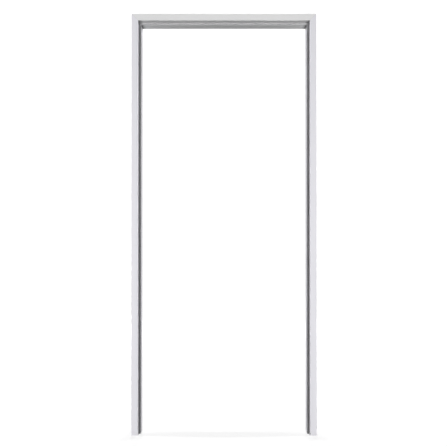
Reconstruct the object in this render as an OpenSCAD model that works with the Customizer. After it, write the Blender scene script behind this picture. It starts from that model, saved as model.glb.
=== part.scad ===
// White uPVC door frame with two jambs and a head, open at the floor.
// Hollow plastic lengths are mitred and welded at the two top corners.
// Units are millimetres. The middle of the foot is the origin, Z is up, and the front faces -Y.
// Sections are drawn as u (from the wall side to the doorway) by v (from the front to the back).

/* [Frame size] */
// Outside width of the frame
frame_width = 900; // [700:5:1200]
// Outside height of the frame
frame_height = 2050; // [1900:5:2400]
// Depth of the frame, front to back
frame_depth = 100; // [96:1:120]

/* [Plastic section] */
// Width of the front face of a jamb or the head
face_width = 33; // [32:1:44]
// Depth of the rebate that the leaf shuts into
rebate_depth = 38; // [34:1:44]
// How far the stop stands out past the rebate
stop_projection = 10; // [9:0.5:13]
// Thickness of the outer walls
outer_wall = 2.5; // [2.2:0.1:3]
// Thickness of the inner webs
inner_web = 1.5; // [1.2:0.1:1.8]
// Radius of the rounded arrises of the front face and the back
arris_radius = 1.25; // [1:0.25:2.5]
// Radius of the rounded front arris of the stop
stop_arris_radius = 1; // [0.5:0.25:2]
// Radius of the chambers' inside corners
web_radius = 0.8; // [0.4:0.1:1]
// Distance from the front, and from the back, to the middle chamber
main_chamber_inset = 22; // [21:0.5:24]

/* [Wall side grooves] */
// Width of the groove at its mouth
wall_groove_mouth = 6; // [4:0.5:8]
// Width of the groove behind its lips
wall_groove_width = 10; // [9:0.5:11]
// Thickness of the groove's lips
wall_groove_lip = 1.8; // [1.4:0.1:2.2]
// Depth of the groove behind its lips
wall_groove_pocket = 3; // [2:0.25:4]
// Distance of the groove's middle from the front, and from the back
wall_groove_inset = 12; // [11.5:0.25:12.5]

/* [Seal groove and seal] */
// Distance of the seal's middle from the rebate corner
seal_inset = 4.8; // [4.4:0.1:5]
// Width of the seal groove at its mouth
seal_groove_mouth = 2.6; // [2.2:0.1:3]
// Width of the seal groove behind its lips
seal_groove_width = 4.4; // [4:0.1:4.8]
// Thickness of the seal groove's lips
seal_groove_lip = 1.4; // [1:0.1:1.8]
// Depth of the seal groove behind its lips
seal_groove_pocket = 3; // [2.6:0.1:3.4]
// Clearance between the seal's foot and its groove, each side
seal_fit = 0.1; // [0.05:0.05:0.2]
// Outside radius of the seal's bulb
seal_bulb_radius = 3; // [2.4:0.1:3.2]
// Wall thickness of the seal's bulb
seal_bulb_wall = 0.9; // [0.6:0.1:1.2]
// How far the seal's bulb sinks into its flange
seal_bulb_sink = 0.4; // [0.2:0.1:0.5]
// Width of the seal's flange
seal_flange_width = 8.4; // [7:0.1:8.8]
// Thickness of the seal's flange
seal_flange_thickness = 0.8; // [0.6:0.1:1]
// Depth of the seal's barb, from the groove's lips to its narrow end
seal_barb_depth = 2.2; // [1.8:0.1:2.4]
// Depth of the barb's straight edge
seal_barb_edge = 0.7; // [0.5:0.1:1]
// Thickness of the plastic behind the seal groove
seal_groove_floor = 2; // [1.5:0.1:2.5]

/* [Welded corners] */
// Width of the fine groove along the weld
weld_groove_width = 0.8; // [0.6:0.1:2]
// Depth of the fine groove along the weld
weld_groove_depth = 0.3; // [0.2:0.1:0.8]

/* [Steel reinforcement] */
// Sheet thickness of the reinforcement
steel_thickness = 1.5; // [1.2:0.1:1.8]
// Outside radius of the reinforcement's bends
steel_bend_radius = 2.5; // [2:0.25:3]
// Clearance between the reinforcement and each web beside it
steel_fit = 0.5; // [0.2:0.1:1]
// Clearance between the reinforcement's edges and the rebate wall
steel_edge_gap = 1.5; // [0.5:0.5:3]
// Distance from the frame's outside corner to the reinforcement's end
steel_corner_gap = 44; // [40:1:50]
// Distance from the floor to the reinforcement's end
steel_foot_gap = 12; // [5:1:40]

/* [Reinforcement screws] */
// Screws in each jamb
jamb_screw_count = 7; // [4:1:9]
// Screws in the head
head_screw_count = 3; // [2:1:4]
// Distance from the floor to the lowest screw
jamb_screw_start = 120; // [60:5:200]
// Distance from the frame's top to the highest screw
jamb_screw_end = 260; // [200:5:400]
// Distance from the frame's side to the head's outer screws
head_screw_end = 230; // [200:5:260]
// Thread diameter of a screw
screw_diameter = 3.9; // [3.5:0.1:4.2]
// Head diameter of a screw
screw_head_diameter = 7.4; // [7:0.1:8]
// Height of a screw's countersunk head
screw_head_height = 2; // [1.6:0.1:2.2]
// Length of a screw
screw_length = 16; // [13:1:19]
// Length of a screw's drill tip
screw_tip_length = 4; // [3:0.5:5]
// Slot width of a screw's cross recess
recess_width = 0.9; // [0.7:0.1:1.1]
// Span of a screw's cross recess
recess_span = 4; // [3:0.25:4.5]
// Depth of a screw's cross recess
recess_depth = 1.4; // [1:0.1:1.6]
// Clearance between a screw and its hole
screw_fit = 0.05; // [0.02:0.01:0.1]

/* [Corner brackets] */
// Thickness of a corner bracket
bracket_thickness = 3; // [2:0.5:4]
// Gap between a corner bracket's edges and the channel's sides
bracket_side_gap = 3; // [2:0.5:5]
// Length of each leg of a corner bracket
bracket_leg = 140; // [130:5:180]
// Inside radius of a corner bracket's bend
bracket_bend_radius = 3; // [2:0.5:5]
// Distance from the frame's corner to the first bracket screws
bracket_screw_near = 70; // [60:1:80]
// Distance from a corner bracket's end to its second screws
bracket_screw_edge = 20; // [16:1:30]
// Distance between the two rows of bracket screws
bracket_screw_rows = 24; // [16:1:30]

/* [Hidden] */
$fn = 48;
half_width = frame_width / 2;
half_depth = frame_depth / 2;
stop_line = face_width + stop_projection;
chamber_line = face_width - outer_wall;
main_chamber_start = main_chamber_inset;
main_chamber_end = frame_depth - main_chamber_inset;
groove_block_width = wall_groove_width + 2 * inner_web;
groove_block_depth = wall_groove_lip + wall_groove_pocket + inner_web;
seal_line = face_width + seal_inset;
seal_groove_end = rebate_depth + seal_groove_lip + seal_groove_pocket;
stop_chamber_start = seal_groove_end + seal_groove_floor;
stop_chamber_end = frame_depth - outer_wall;
stop_web_line = (stop_chamber_start + stop_chamber_end) / 2;
steel_front = main_chamber_start + steel_fit;
steel_back = main_chamber_end - steel_fit;
steel_edge = chamber_line - steel_edge_gap;
steel_inner_radius = steel_bend_radius - steel_thickness;
screw_line = (main_chamber_start + main_chamber_end) / 2;
bracket_width = steel_back - steel_front - 2 * (steel_thickness + bracket_side_gap);
bracket_outer = outer_wall + steel_thickness;
bracket_inner = bracket_outer + bracket_thickness;
bracket_outer_radius = bracket_bend_radius + bracket_thickness;
bracket_screw_far = bracket_leg - bracket_screw_edge;
jamb_screw_pitch = (frame_height - jamb_screw_start - jamb_screw_end) / (jamb_screw_count - 1);
head_screw_pitch = (frame_width - 2 * head_screw_end) / (head_screw_count - 1);
overrun = 1;
block = 3 * frame_depth;
plastic_white = [0.93, 0.93, 0.94];
seal_grey = [0.55, 0.56, 0.57];
galvanised = [0.68, 0.7, 0.72];
zinc = [0.8, 0.8, 0.78];

// A rectangle from (a, b) to (c, d).
module area(a, b, c, d) {
    translate([a, b]) square([c - a, d - b]);
}

// What rounding takes off a square corner at (a, b). sa and sb point into the material.
module corner_waste(a, b, sa, sb, r) {
    difference() {
        area(min(a, a + sa * r), min(b, b + sb * r), max(a, a + sa * r), max(b, b + sb * r));
        translate([a + sa * r, b + sb * r]) circle(r);
    }
}

// A chamber from (a, b) to (c, d) with rounded corners.
module chamber(a, b, c, d) {
    difference() {
        area(a, b, c, d);
        corner_waste(a, b, 1, 1, web_radius);
        corner_waste(c, b, -1, 1, web_radius);
        corner_waste(c, d, -1, -1, web_radius);
        corner_waste(a, d, 1, -1, web_radius);
    }
}

// The closed outline of the plastic section with its rounded arrises.
module section_outline() {
    difference() {
        polygon([[0, 0], [face_width, 0], [face_width, rebate_depth],
                 [stop_line, rebate_depth], [stop_line, frame_depth], [0, frame_depth]]);
        corner_waste(0, 0, 1, 1, arris_radius);
        corner_waste(face_width, 0, -1, 1, arris_radius);
        corner_waste(stop_line, rebate_depth, -1, 1, stop_arris_radius);
        corner_waste(stop_line, frame_depth, -1, -1, arris_radius);
        corner_waste(0, frame_depth, 1, -1, arris_radius);
    }
}

// One lipped groove in the wall side, with its middle at v.
module wall_groove(v) {
    area(-overrun, v - wall_groove_mouth / 2,
         wall_groove_lip + overrun, v + wall_groove_mouth / 2);
    area(wall_groove_lip, v - wall_groove_width / 2,
         wall_groove_lip + wall_groove_pocket, v + wall_groove_width / 2);
}

// The groove in the front of the stop that holds the seal.
module seal_groove() {
    area(seal_line - seal_groove_mouth / 2, rebate_depth - overrun,
         seal_line + seal_groove_mouth / 2, rebate_depth + seal_groove_lip + overrun);
    area(seal_line - seal_groove_width / 2, rebate_depth + seal_groove_lip,
         seal_line + seal_groove_width / 2, seal_groove_end);
}

// A chamber that leaves plastic around the wall groove at v.
module grooved_chamber(from, to, v) {
    difference() {
        chamber(outer_wall, from, chamber_line, to);
        area(0, v - groove_block_width / 2, groove_block_depth, v + groove_block_width / 2);
    }
}

// The hollow plastic section.
module plastic_section() {
    difference() {
        section_outline();
        grooved_chamber(outer_wall, main_chamber_start - inner_web, wall_groove_inset);
        chamber(outer_wall, main_chamber_start, chamber_line, main_chamber_end);
        grooved_chamber(main_chamber_end + inner_web, frame_depth - outer_wall,
                        frame_depth - wall_groove_inset);
        chamber(chamber_line + inner_web, stop_chamber_start,
                stop_line - outer_wall, stop_web_line - inner_web / 2);
        chamber(chamber_line + inner_web, stop_web_line + inner_web / 2,
                stop_line - outer_wall, stop_chamber_end);
        wall_groove(wall_groove_inset);
        wall_groove(frame_depth - wall_groove_inset);
        seal_groove();
    }
}

// The seal: a barbed foot in the groove, a flange on the stop and a hollow bulb in front.
module seal_section() {
    bulb = rebate_depth - seal_flange_thickness + seal_bulb_sink - seal_bulb_radius;
    foot = seal_groove_mouth / 2 - seal_fit;
    barb = seal_groove_width / 2 - seal_fit;
    tip = foot / 2;
    difference() {
        union() {
            translate([seal_line, bulb]) circle(seal_bulb_radius);
            area(seal_line - seal_flange_width / 2, rebate_depth - seal_flange_thickness,
                 seal_line + seal_flange_width / 2, rebate_depth);
            area(seal_line - foot, rebate_depth - seal_flange_thickness / 2,
                 seal_line + foot, rebate_depth + seal_groove_lip + seal_barb_edge);
            translate([seal_line, rebate_depth + seal_groove_lip])
                polygon([[-barb, seal_fit], [barb, seal_fit], [barb, seal_barb_edge],
                         [tip, seal_barb_depth], [-tip, seal_barb_depth],
                         [-barb, seal_barb_edge]]);
        }
        translate([seal_line, bulb]) circle(seal_bulb_radius - seal_bulb_wall);
    }
}

// The galvanised channel, with its back against the wall side of the middle chamber.
module steel_section() {
    difference() {
        area(outer_wall, steel_front, steel_edge, steel_back);
        corner_waste(outer_wall, steel_front, 1, 1, steel_bend_radius);
        corner_waste(outer_wall, steel_back, 1, -1, steel_bend_radius);
        difference() {
            area(outer_wall + steel_thickness, steel_front + steel_thickness,
                 steel_edge + overrun, steel_back - steel_thickness);
            corner_waste(outer_wall + steel_thickness, steel_front + steel_thickness,
                         1, 1, steel_inner_radius);
            corner_waste(outer_wall + steel_thickness, steel_back - steel_thickness,
                         1, -1, steel_inner_radius);
        }
    }
}

// Stands a section up as the left jamb, from height z to height z + length.
module upright(z, length) {
    translate([-half_width, -half_depth, z]) linear_extrude(length) children();
}

// Lays a section across as the head, from side to side less a gap at both ends.
module crosswise(gap) {
    translate([-half_width + gap, -half_depth, frame_height]) rotate([0, 90, 0])
        linear_extrude(frame_width - 2 * gap) children();
}

// The half space beyond the left mitre: above it for the jamb, below it for the head.
module mitre_block(above) {
    translate([-half_width, 0, frame_height]) rotate([0, 45, 0])
        translate([-block / 2, -block / 2, above ? 0 : -block]) cube(block);
}

// The fine grooves along the left weld, on the front face and on the back.
module weld_groove() {
    for (y = [-half_depth, half_depth]) translate([-half_width, y, frame_height])
        rotate([0, 45, 0]) translate([-overrun, -weld_groove_depth, -weld_groove_width / 2])
            cube([stop_line * 2, 2 * weld_groove_depth, weld_groove_width]);
}

// A screw that points along +Z from the top of its head.
module screw() {
    r = screw_diameter / 2;
    difference() {
        rotate_extrude() polygon([[0, 0], [screw_head_diameter / 2, 0], [r, screw_head_height],
                                  [r, screw_length - screw_tip_length], [0, screw_length]]);
        for (a = [0, 90]) rotate([0, 0, a])
            translate([-recess_span / 2, -recess_width / 2, -overrun])
                cube([recess_span, recess_width, recess_depth + overrun]);
    }
}

// The countersunk hole for one screw.
module screw_hole() {
    r = screw_diameter / 2;
    rotate_extrude() polygon([[0, -overrun], [screw_head_diameter / 2, -overrun],
                              [screw_head_diameter / 2, 0],
                              [r + screw_fit, screw_head_height - screw_fit],
                              [r + screw_fit, screw_length + overrun],
                              [0, screw_length + overrun]]);
}

// Puts its children at v and height z, pointing in from the wall side of the left jamb.
module jamb_place(v, z) {
    translate([-half_width, -half_depth + v, z]) rotate([0, 90, 0]) children();
}

// Puts its children at x and v, pointing down from the wall side of the head.
module head_place(x, v) {
    translate([x, -half_depth + v, frame_height]) rotate([180, 0, 0]) children();
}

// Every reinforcement screw of the left jamb.
module jamb_screw_places() {
    for (i = [0 : jamb_screw_count - 1])
        jamb_place(screw_line, jamb_screw_start + i * jamb_screw_pitch) children();
}

// Every reinforcement screw of the head.
module head_screw_places() {
    for (i = [0 : head_screw_count - 1])
        head_place(-half_width + head_screw_end + i * head_screw_pitch, screw_line) children();
}

// The bracket screws of the left corner that go into the jamb.
module corner_jamb_places() {
    for (d = [bracket_screw_near, bracket_screw_far], s = [-1, 1])
        jamb_place(screw_line + s * bracket_screw_rows / 2, frame_height - d) children();
}

// The bracket screws of the left corner that go into the head.
module corner_head_places() {
    for (d = [bracket_screw_near, bracket_screw_far], s = [-1, 1])
        head_place(-half_width + d, screw_line + s * bracket_screw_rows / 2) children();
}

// The plastic of the left jamb.
module jamb_plastic() {
    difference() {
        upright(0, frame_height) plastic_section();
        mitre_block(true);
        weld_groove();
        jamb_screw_places() screw_hole();
        corner_jamb_places() screw_hole();
    }
}

// The channel inside the left jamb.
module jamb_steel() {
    difference() {
        upright(steel_foot_gap, frame_height - steel_corner_gap - steel_foot_gap) steel_section();
        jamb_screw_places() screw_hole();
        corner_jamb_places() screw_hole();
    }
}

// The seal of the left jamb.
module jamb_seal() {
    difference() {
        upright(0, frame_height) seal_section();
        mitre_block(true);
    }
}

// The outline of a corner bracket, measured across and down from the frame's left top corner.
module bracket_outline() {
    difference() {
        area(bracket_outer, bracket_outer, bracket_leg, bracket_leg);
        corner_waste(bracket_outer, bracket_outer, 1, 1, bracket_outer_radius);
        difference() {
            area(bracket_inner, bracket_inner, bracket_leg + overrun, bracket_leg + overrun);
            corner_waste(bracket_inner, bracket_inner, 1, 1, bracket_bend_radius);
        }
    }
}

// The bracket inside the left top corner.
module corner_bracket() {
    difference() {
        translate([-half_width, -half_depth + screw_line - bracket_width / 2, frame_height])
            rotate([-90, 0, 0]) linear_extrude(bracket_width) bracket_outline();
        corner_jamb_places() screw_hole();
        corner_head_places() screw_hole();
    }
}

// The screws of the left corner bracket.
module corner_screws() {
    corner_jamb_places() screw();
    corner_head_places() screw();
}

module left_jamb() { color(plastic_white) jamb_plastic(); }

module right_jamb() { color(plastic_white) mirror([1, 0, 0]) jamb_plastic(); }

module head() {
    color(plastic_white) difference() {
        crosswise(0) plastic_section();
        mitre_block(false);
        mirror([1, 0, 0]) mitre_block(false);
        weld_groove();
        mirror([1, 0, 0]) weld_groove();
        head_screw_places() screw_hole();
        corner_head_places() screw_hole();
        mirror([1, 0, 0]) corner_head_places() screw_hole();
    }
}

module left_reinforcement() { color(galvanised) jamb_steel(); }

module right_reinforcement() { color(galvanised) mirror([1, 0, 0]) jamb_steel(); }

module head_reinforcement() {
    color(galvanised) difference() {
        crosswise(steel_corner_gap) steel_section();
        head_screw_places() screw_hole();
        corner_head_places() screw_hole();
        mirror([1, 0, 0]) corner_head_places() screw_hole();
    }
}

module left_corner_bracket() { color(galvanised) corner_bracket(); }

module right_corner_bracket() { color(galvanised) mirror([1, 0, 0]) corner_bracket(); }

module left_seal() { color(seal_grey) jamb_seal(); }

module right_seal() { color(seal_grey) mirror([1, 0, 0]) jamb_seal(); }

module head_seal() {
    color(seal_grey) difference() {
        crosswise(0) seal_section();
        mitre_block(false);
        mirror([1, 0, 0]) mitre_block(false);
    }
}

module left_reinforcement_screws() { color(zinc) jamb_screw_places() screw(); }

module right_reinforcement_screws() {
    color(zinc) mirror([1, 0, 0]) jamb_screw_places() screw();
}

module head_reinforcement_screws() { color(zinc) head_screw_places() screw(); }

module left_corner_screws() { color(zinc) corner_screws(); }

module right_corner_screws() { color(zinc) mirror([1, 0, 0]) corner_screws(); }

left_jamb();
right_jamb();
head();
left_reinforcement();
right_reinforcement();
head_reinforcement();
left_corner_bracket();
right_corner_bracket();
left_seal();
right_seal();
head_seal();
left_reinforcement_screws();
right_reinforcement_screws();
head_reinforcement_screws();
left_corner_screws();
right_corner_screws();
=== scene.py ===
"""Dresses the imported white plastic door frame: its finishes, a plain white studio and the camera.

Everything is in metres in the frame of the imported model: X to the right, Y to the back, Z up. Tones
are linear colours. An edge is a pair of distances between which a mark on a surface fades.
"""

import math

import bpy
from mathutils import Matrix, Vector


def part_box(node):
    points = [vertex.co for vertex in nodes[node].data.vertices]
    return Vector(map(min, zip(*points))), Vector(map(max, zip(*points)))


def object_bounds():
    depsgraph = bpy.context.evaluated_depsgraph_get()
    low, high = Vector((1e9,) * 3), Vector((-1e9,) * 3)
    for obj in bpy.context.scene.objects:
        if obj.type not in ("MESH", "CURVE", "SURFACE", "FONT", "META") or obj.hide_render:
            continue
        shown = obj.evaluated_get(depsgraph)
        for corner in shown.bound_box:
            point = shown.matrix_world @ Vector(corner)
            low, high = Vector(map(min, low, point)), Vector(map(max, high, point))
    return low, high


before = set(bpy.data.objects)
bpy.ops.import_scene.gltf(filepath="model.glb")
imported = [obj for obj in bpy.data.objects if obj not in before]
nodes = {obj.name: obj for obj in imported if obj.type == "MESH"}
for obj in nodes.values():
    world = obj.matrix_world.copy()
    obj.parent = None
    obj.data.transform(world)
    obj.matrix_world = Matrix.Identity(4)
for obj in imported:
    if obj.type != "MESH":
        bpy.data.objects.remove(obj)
cad_low, cad_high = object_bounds()

# From the rebate's face to the edge of the seal
SEAL_EDGE_GAP = 0.0006
# From the stop's front to the inner end of the seal's barb
SEAL_BARB = 0.0036

# Places on the frame, from its box and from the boxes of its seals
seal_low, seal_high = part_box("left_seal")
head_seal_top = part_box("head_seal")[1].z
HALF_WIDTH = cad_high.x
HEIGHT = cad_high.z
FRONT = cad_low.y
BACK = cad_high.y
REBATE_HALF_WIDTH = SEAL_EDGE_GAP - seal_low.x
REBATE_HEIGHT = SEAL_EDGE_GAP + head_seal_top
STOP_FRONT = seal_high.y - SEAL_BARB

# The axis that each length runs along
UPRIGHT = 2
ACROSS = 0

# White plastic, its marks and where each mark fades
JAMB_WHITES = ((0.800, 0.794, 0.836), (0.835, 0.827, 0.872))
HEAD_WHITES = ((0.797, 0.797, 0.800), (0.832, 0.832, 0.835))
SCUFF_TONE = (0.74, 0.735, 0.745)
DUST_TONE = (0.60, 0.585, 0.56)
FOOT_DUST_TONE = (0.62, 0.60, 0.57)
# Painted shade: the first tone darkens the rebate and the stop inside a top corner, the second, near
# black, runs along the stop's inner corner
INNER_CORNER_SHADE_TONE = (0.20, 0.20, 0.21)
STOP_WEDGE_SHADE_TONE = (0.10, 0.10, 0.10)
SEAM_TONE = (0.42, 0.42, 0.44)
SEAM_EDGE = (0.0004, 0.0011)
TRIMMED_EDGE = (0.003, 0.0055)
# Widths of the painted shade along the stop's inner corner and of the painted shade inside a top corner
STOP_WEDGE_SHADE_EDGE = (0.003, 0.0065)
INNER_CORNER_SHADE_EDGE = (0.0, 0.018)
DUST_EDGE = (0.001, 0.006)
FOOT_DUST_EDGE = (0.0, 0.035)
ARRIS_EDGE = (0.0005, 0.0015)
BACK_ARRIS_EDGE = (0.0005, 0.004)
PLASTIC_BUMP = 0.00006
PLASTIC_SPECULAR = 0.12

# Periods of a pattern to the metre, along the length and across it
DIE_LINES = (6.0, 900.0)
STREAKS = (1.2, 170.0)
SCUFFS = (90.0, 34.0)
FLOW_LINES = (9.0, 1500.0)

# Galvanised sheet
SHEET_TONES = ((0.44, 0.46, 0.49), (0.60, 0.62, 0.65))
SHEET_BLOOM_TONE = (0.66, 0.67, 0.67)
CRYSTALS = (150.0, 150.0, 150.0)
CRYSTAL_BUMP = 0.00004

# Plated screws
SCREW_TONES = ((0.33, 0.33, 0.32), (0.50, 0.475, 0.40))
SCREW_BUMP = 0.00003

# Grey rubber, darker between the two heights the nearer it is to the floor
# One grey rubber in two tones: the jambs' seals darker, as painted shade, and the head's seal lighter, as
# painted light
SHADED_JAMB_SEAL_GREYS = ((0.28, 0.28, 0.29), (0.34, 0.34, 0.35))
LIT_HEAD_SEAL_GREYS = ((0.45, 0.45, 0.46), (0.52, 0.52, 0.53))
SEAL_LOW_TONE = (0.15, 0.15, 0.16)
SEAL_DUST_TONE = (0.50, 0.495, 0.48)
SEAL_LOW_HEIGHTS = (0.8, 1.9)
SEAL_BUMP = 0.00005

# Floor and world. The floor's glow grows between two distances from the middle of the frame.
WHITE = (1.0, 1.0, 1.0)
FLOOR_HALF_SIZE = 40.0
FLOOR_BOUNCE = (0.02, 0.02, 0.02)
FLOOR_COAT = (0.45, 0.45, 0.45)
NEAR_GLOW = 0.62
# A little over 1, so that the white also stays clean along the picture's border
FULL_WHITE = 1.1
GLOW_GROWS = (3.0, 5.0)
AMBIENT = 0.01

# Lamps. Of a pair only the right one is given, and its twin on the left mirrors it.
MIDDLE = (0.0, 0.0, 1.0)
RIGHT_FACE = ((REBATE_HALF_WIDTH + HALF_WIDTH) / 2, 0.0, 1.0)
FRONT_LAMP = {"place": (1.9, -4.2, 0.8), "aim": RIGHT_FACE, "size": (0.6, 1.6), "watts": 105.0}
BACK_LAMP = {"place": (0.9, 4.4, 2.75), "aim": MIDDLE, "size": (0.8, 1.3), "watts": 87.0}
SIDE_LAMP = {"place": (4.0, 0.27, 1.7), "aim": MIDDLE, "size": (0.2, 0.6), "watts": 78.0}
OVERHEAD_LAMP = {"place": (0.0, 0.0, 5.5), "aim": MIDDLE, "size": (1.6, 1.6), "watts": 61.0}

# Camera, square to the front and fitted to the photo's edges
SENSOR_MM = 36.0
LENS_MM = 56.146
PICTURE_SHIFT = (-0.00109, 0.04184)
CAMERA_DISTANCE = 3.3862
CAMERA_HEIGHT = 0.91
CAMERA_TILT_DEGREES = 0.4591
FARTHEST_SEEN = 200.0


class Wire:
    """One output socket of a finish. Arithmetic on it adds Math nodes to that finish."""

    def __init__(self, finish, socket):
        self.finish = finish
        self.socket = socket

    def math(self, operation, *values):
        return self.finish.node("ShaderNodeMath", {"operation": operation}, dict(enumerate(values)))

    def __add__(self, other):
        return self.math("ADD", self, other)

    def __radd__(self, other):
        return self.math("ADD", other, self)

    def __sub__(self, other):
        return self.math("SUBTRACT", self, other)

    def __rsub__(self, other):
        return self.math("SUBTRACT", other, self)

    def __mul__(self, other):
        return self.math("MULTIPLY", self, other)

    def __rmul__(self, other):
        return self.math("MULTIPLY", other, self)

    def __abs__(self):
        return self.math("ABSOLUTE", self)

    def least(self, other):
        return self.math("MINIMUM", self, other)

    def most(self, other):
        return self.math("MAXIMUM", self, other)

    def rise(self, low, high):
        """0 up to low, 1 from high on, and a smooth ramp between them."""
        return self.finish.node("ShaderNodeMapRange", {"interpolation_type": "SMOOTHSTEP"},
                                {"Value": self, "From Min": low, "From Max": high})

    def fall(self, low, high):
        """1 up to low, 0 from high on, and a smooth ramp between them."""
        return 1.0 - self.rise(low, high)


class Finish:
    """The nodes of one material or world, its owner. node() adds any node."""

    def __init__(self, owner):
        self.owner = owner
        owner.use_nodes = True
        self.tree = owner.node_tree
        self.tree.nodes.clear()

    def node(self, kind, settings=None, inputs=None, output=0):
        """Adds a node, sets its settings, then its sockets by value or link, and returns one output."""
        made = self.tree.nodes.new(kind)
        for key, value in (settings or {}).items():
            setattr(made, key, value)
        for key, value in (inputs or {}).items():
            socket = made.inputs[key]
            if isinstance(value, Wire):
                self.tree.links.new(value.socket, socket)
            elif isinstance(value, tuple) and socket.type == "RGBA":
                socket.default_value = (*value, 1.0)
            else:
                socket.default_value = value
        return Wire(self, made.outputs[output]) if made.outputs else None

    def place(self):
        """The point on the piece, in metres."""
        return self.node("ShaderNodeTexCoord", output="Object")

    def axes(self):
        """The three coordinates of the point, one wire each."""
        point = self.place()
        return [self.node("ShaderNodeSeparateXYZ", None, {0: point}, axis) for axis in range(3)]

    def stretched(self, scale):
        """The point with each coordinate multiplied by its own scale."""
        return self.node("ShaderNodeVectorMath", {"operation": "MULTIPLY"},
                         {0: self.place(), 1: scale})

    def noise(self, scale, detail=3.0, roughness=0.5):
        """Soft random values from 0 to 1, with one period to the metre along an axis of scale 1."""
        return self.node("ShaderNodeTexNoise", None,
                         {"Vector": self.stretched(scale), "Scale": 1.0, "Detail": detail,
                          "Roughness": roughness})

    def lengthwise_noise(self, along, periods, detail, roughness):
        """Noise with the first number of periods to the metre along one axis and the second across it."""
        lengthwise, crosswise = periods
        scale = tuple(lengthwise if axis == along else crosswise for axis in range(3))
        return self.noise(scale, detail, roughness)

    def mix(self, amount, first, second):
        """The first colour where amount is 0 and the second where it is 1."""
        return self.node("ShaderNodeMix", {"data_type": "RGBA"},
                         {0: amount, 6: first, 7: second}, 2)

    def layered(self, tone, layers):
        """A tone under layers, each a mask, the layer's strength where the mask is 1, and its tone."""
        for mask, strength, layer_tone in layers:
            tone = self.mix(mask * strength, tone, layer_tone)
        return tone

    def bump(self, height, distance, strength=0.6):
        """A normal from a height of 0 to 1 that stands for distance metres."""
        return self.node("ShaderNodeBump", None,
                         {"Height": height, "Distance": distance, "Strength": strength})

    def seen(self):
        """1 on the camera's rays and on those in gloss and through glass, and 0 on the rest."""
        kinds = ("Is Camera Ray", "Is Glossy Ray", "Is Transmission Ray")
        camera, gloss, glass = [self.node("ShaderNodeLightPath", output=kind) for kind in kinds]
        return camera.most(gloss).most(glass)

    def surface(self, **sockets):
        """Joins a Principled shader with these sockets to the output and returns the material."""
        shader = self.node("ShaderNodeBsdfPrincipled", None,
                           {key.replace("_", " "): value for key, value in sockets.items()})
        self.node("ShaderNodeOutputMaterial", None, {"Surface": shader})
        return self.owner


def new_finish(name):
    """An empty material by this name, ready for its nodes."""
    return Finish(bpy.data.materials.new(name))


def weld_distance(finish):
    """Metres from the mitre plane of the nearer top corner, which lies at 45 degrees."""
    x, _, z = finish.axes()
    return abs((HALF_WIDTH - abs(x)) - (HEIGHT - z)) * math.sqrt(0.5)


def inside_faces(finish):
    """1 on the rebate and the stop, which face the leaf and the doorway, and 0 on the other faces."""
    x, y, z = finish.axes()
    beside = (abs(x) - REBATE_HALF_WIDTH).fall(*ARRIS_EDGE)
    below = (z - REBATE_HEIGHT).fall(*ARRIS_EDGE)
    before = (BACK - y).rise(*BACK_ARRIS_EDGE)
    return beside * below * before


def seal_corner_distance(finish, along):
    """Metres from the line where the rebate meets the stop, the larger of the two across the length."""
    x, y, z = finish.axes()
    side = abs(abs(x) - REBATE_HALF_WIDTH) if along == UPRIGHT else abs(z - REBATE_HEIGHT)
    return side.most(abs(y - STOP_FRONT))


def extruded_plastic(name, along, whites):
    """Satin white plastic with die lines and broader streaks that run along the length of the piece.

    The white drifts between two tones. Faint scuffs dull it here and there, the trimmed weld is
    matt, and a little dust lies beside the seal and at the foot. Inside a top corner, painted shade
    darkens the rebate and the stop, and a near-black painted shade runs along the stop's inner corner.
    """
    finish = new_finish(name)
    lines = finish.lengthwise_noise(along, DIE_LINES, 2.0, 0.6)
    streaks = finish.lengthwise_noise(along, STREAKS, 3.0, 0.6)
    scuffs = finish.lengthwise_noise(along, SCUFFS, 5.0, 0.7).rise(0.56, 0.74)
    grain = finish.noise((2600.0, 2600.0, 2600.0), 2.0, 0.5)
    broad = finish.noise((7.0, 7.0, 3.0), 3.0, 0.55)
    pits = finish.noise((500.0, 500.0, 500.0))
    _, y, z = finish.axes()
    weld = weld_distance(finish)
    inside = inside_faces(finish)
    seam = weld.fall(*SEAM_EDGE)
    trimmed = weld.fall(*TRIMMED_EDGE)
    # Painted shade inside a top corner, and a darker painted shade along the stop's inner corner
    inner_corner_shade = weld.fall(*INNER_CORNER_SHADE_EDGE) * inside
    stop_wedge_shade = weld.fall(*STOP_WEDGE_SHADE_EDGE) * inside * y.rise(STOP_FRONT, 0.0)
    dust = seal_corner_distance(finish, along).fall(*DUST_EDGE) * broad.rise(0.35, 0.65)
    foot_dust = z.fall(*FOOT_DUST_EDGE) * scuffs.most(0.25)
    drift = broad.rise(0.3, 0.7) * 0.45 + streaks.rise(0.3, 0.7) * 0.55
    tone = finish.layered(finish.mix(drift, *whites), [
        (scuffs, 0.30, SCUFF_TONE),
        (dust, 0.16, DUST_TONE),
        (foot_dust, 0.35, FOOT_DUST_TONE),
        # Painted shade inside a top corner, then darker painted shade along the stop's inner corner
        (inner_corner_shade, 0.60, INNER_CORNER_SHADE_TONE),
        (stop_wedge_shade, 0.60, STOP_WEDGE_SHADE_TONE),
        (seam, 0.20, SEAM_TONE),
    ])
    roughness = 0.44 + broad * 0.06 + lines * 0.05 + streaks * 0.04 + scuffs * 0.12 + trimmed * 0.14
    height = lines * 0.6 + streaks * 0.2 + grain * 0.2 + trimmed * pits * 0.6
    return finish.surface(Base_Color=tone, Roughness=roughness.least(0.7),
                          Normal=finish.bump(height, PLASTIC_BUMP),
                          Specular_IOR_Level=PLASTIC_SPECULAR)


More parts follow.
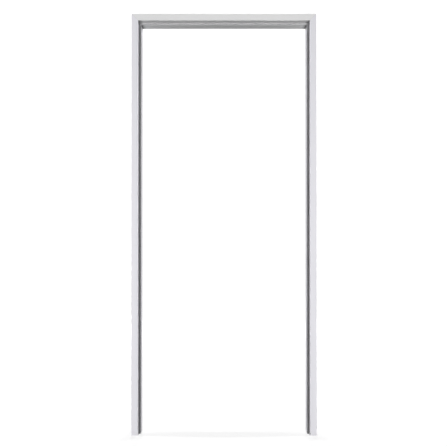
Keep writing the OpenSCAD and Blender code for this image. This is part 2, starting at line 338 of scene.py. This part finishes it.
def galvanised_steel(name):
    """Zinc-coated sheet: crystals of zinc a few millimetres across, each with its own tone and gloss."""
    finish = new_finish(name)
    crystal = finish.node("ShaderNodeTexVoronoi", {"feature": "F1"},
                          {"Vector": finish.stretched(CRYSTALS), "Scale": 1.0, "Randomness": 1.0},
                          "Color")
    shade = finish.node("ShaderNodeSeparateColor", None, {0: crystal})
    bloom = finish.noise((24.0, 24.0, 9.0), 4.0, 0.6)
    tone = finish.mix(shade, *SHEET_TONES)
    tone = finish.mix(bloom.rise(0.55, 0.8) * 0.4, tone, SHEET_BLOOM_TONE)
    return finish.surface(Base_Color=tone, Metallic=0.92, Roughness=0.32 + shade * 0.14 + bloom * 0.12,
                          Normal=finish.bump(shade, CRYSTAL_BUMP, 0.5))


def plated_screw(name):
    """Zinc plate with a faint yellow cast, cloudy patches and fine scratches."""
    finish = new_finish(name)
    patch = finish.noise((420.0, 420.0, 420.0), 3.0, 0.6).rise(0.3, 0.7)
    scratch = finish.noise((900.0, 5200.0, 1400.0), 2.0, 0.6)
    tone = finish.mix(patch, *SCREW_TONES)
    return finish.surface(Base_Color=tone, Metallic=0.95, Roughness=0.26 + patch * 0.16 + scratch * 0.08,
                          Normal=finish.bump(patch * 0.4 + scratch * 0.6, SCREW_BUMP))


def grey_rubber(name, along, greys):
    """Matt grey seal with a fine skin and faint flow lines along its length, between two tones.

    It is darker towards the floor, and a little dust lies on it.
    """
    finish = new_finish(name)
    flow = finish.lengthwise_noise(along, FLOW_LINES, 2.0, 0.5)
    skin = finish.noise((3200.0, 3200.0, 3200.0), 2.0, 0.5)
    dust = finish.noise((60.0, 60.0, 30.0), 4.0, 0.65).rise(0.45, 0.8)
    _, _, z = finish.axes()
    tone = finish.layered(finish.mix(flow, *greys), [
        (z.fall(*SEAL_LOW_HEIGHTS), 0.60, SEAL_LOW_TONE),
        (dust, 0.25, SEAL_DUST_TONE),
    ])
    return finish.surface(Base_Color=tone, Roughness=0.62 + dust * 0.18,
                          Normal=finish.bump(flow * 0.6 + skin * 0.4, SEAL_BUMP))


def white_floor(name):
    """A pale floor. It bounces little light, and shows as white with the object's shadow on it.

    What shows is a glow plus a plain diffuse coat that takes the shadow. With the distance from the
    object the glow grows to full white, so that the sheet runs into the white behind it.
    """
    finish = new_finish(name)
    bounce = finish.node("ShaderNodeBsdfDiffuse", None, {"Color": FLOOR_BOUNCE})
    coat = finish.node("ShaderNodeBsdfDiffuse", None, {"Color": FLOOR_COAT})
    distance = finish.node("ShaderNodeVectorMath", {"operation": "LENGTH"}, {0: finish.place()}, "Value")
    near = finish.node("ShaderNodeEmission", None, {"Strength": NEAR_GLOW})
    far = finish.node("ShaderNodeEmission", None, {"Strength": FULL_WHITE})
    glow = finish.node("ShaderNodeMixShader", None,
                       {0: distance.rise(*GLOW_GROWS), 1: near, 2: far})
    shown = finish.node("ShaderNodeAddShader", None, {0: glow, 1: coat})
    mixed = finish.node("ShaderNodeMixShader", None, {0: finish.seen(), 1: bounce, 2: shown})
    finish.node("ShaderNodeOutputMaterial", None, {"Surface": mixed})
    return finish.owner


def studio_world():
    """A world that lights with a faint even grey and shows to the camera and in gloss as white."""
    world = bpy.data.worlds.new("studio")
    finish = Finish(world)
    soft = finish.node("ShaderNodeBackground", None, {"Color": WHITE, "Strength": AMBIENT})
    white = finish.node("ShaderNodeBackground", None, {"Color": WHITE, "Strength": FULL_WHITE})
    mixed = finish.node("ShaderNodeMixShader", None, {0: finish.seen(), 1: soft, 2: white})
    finish.node("ShaderNodeOutputWorld", None, {"Surface": mixed})
    bpy.context.scene.world = world


def floor_sheet(name, half_size):
    """A flat square sheet at z = 0, centred under the frame."""
    side = (-half_size, half_size)
    corners = [(x, y, 0.0) for y in side for x in side]
    mesh = bpy.data.meshes.new(name)
    mesh.from_pydata(corners, [], [(0, 1, 3, 2)])
    sheet = bpy.data.objects.new(name, mesh)
    bpy.context.scene.collection.objects.link(sheet)
    return sheet


def soft_box(name, place, aim, size, watts, in_gloss=True):
    """An area lamp at place that faces aim. The camera doesn't see it, nor does gloss unless in_gloss."""
    lamp = bpy.data.lights.new(name, "AREA")
    lamp.shape = "RECTANGLE"
    lamp.size, lamp.size_y = size
    lamp.energy = watts
    box = bpy.data.objects.new(name, lamp)
    box.location = place
    box.rotation_euler = (Vector(aim) - Vector(place)).to_track_quat("-Z", "Y").to_euler()
    box.visible_camera = False
    box.visible_glossy = in_gloss
    bpy.context.scene.collection.objects.link(box)


def mirrored(point):
    """The point's twin on the other side of the plane x = 0."""
    x, y, z = point
    return (-x, y, z)


def lamp_pair(name, lamp, in_gloss=True):
    """A lamp on the right and its mirror twin on the left."""
    twin = {**lamp, "place": mirrored(lamp["place"]), "aim": mirrored(lamp["aim"])}
    soft_box(f"{name}_left", **twin, in_gloss=in_gloss)
    soft_box(f"{name}_right", **lamp, in_gloss=in_gloss)


def studio_lamps():
    """Three pairs of soft lamps and one overhead. Gloss doesn't mirror the back and side pairs."""
    lamp_pair("front", FRONT_LAMP)
    lamp_pair("back", BACK_LAMP, in_gloss=False)
    lamp_pair("side", SIDE_LAMP, in_gloss=False)
    soft_box("overhead", **OVERHEAD_LAMP)


def studio_camera():
    """A camera square to the front, a little below mid-height and tilted up half a degree."""
    lens = bpy.data.cameras.new("camera")
    lens.sensor_width = SENSOR_MM
    lens.lens = LENS_MM
    lens.shift_x, lens.shift_y = PICTURE_SHIFT
    lens.clip_end = FARTHEST_SEEN
    camera = bpy.data.objects.new("camera", lens)
    camera.location = (0.0, FRONT - CAMERA_DISTANCE, CAMERA_HEIGHT)
    camera.rotation_euler = (math.radians(90.0 + CAMERA_TILT_DEGREES), 0.0, 0.0)
    bpy.context.scene.collection.objects.link(camera)
    bpy.context.scene.camera = camera


def dress(names, material):
    """Gives every named node one material."""
    for name in names:
        mesh = nodes[name].data
        mesh.materials.clear()
        mesh.materials.append(material)


dress(["left_jamb", "right_jamb"], extruded_plastic("white_plastic_upright", UPRIGHT, JAMB_WHITES))
dress(["head"], extruded_plastic("white_plastic_across", ACROSS, HEAD_WHITES))
# The seals are one rubber: the jambs' seals take the darker greys as painted shade, the head's seal the
# lighter greys as painted light
dress(["left_seal", "right_seal"], grey_rubber("grey_seal_upright_shaded", UPRIGHT, SHADED_JAMB_SEAL_GREYS))
dress(["head_seal"], grey_rubber("grey_seal_across_lit", ACROSS, LIT_HEAD_SEAL_GREYS))
dress([name for name in nodes if name.endswith(("reinforcement", "bracket"))],
      galvanised_steel("galvanised_sheet"))
dress([name for name in nodes if name.endswith("screws")], plated_screw("zinc_plate"))

floor = floor_sheet("floor", FLOOR_HALF_SIZE)
floor.data.materials.append(white_floor("white_floor"))

studio_world()
studio_lamps()
studio_camera()

scene = bpy.context.scene
scene.view_settings.view_transform = "Standard"
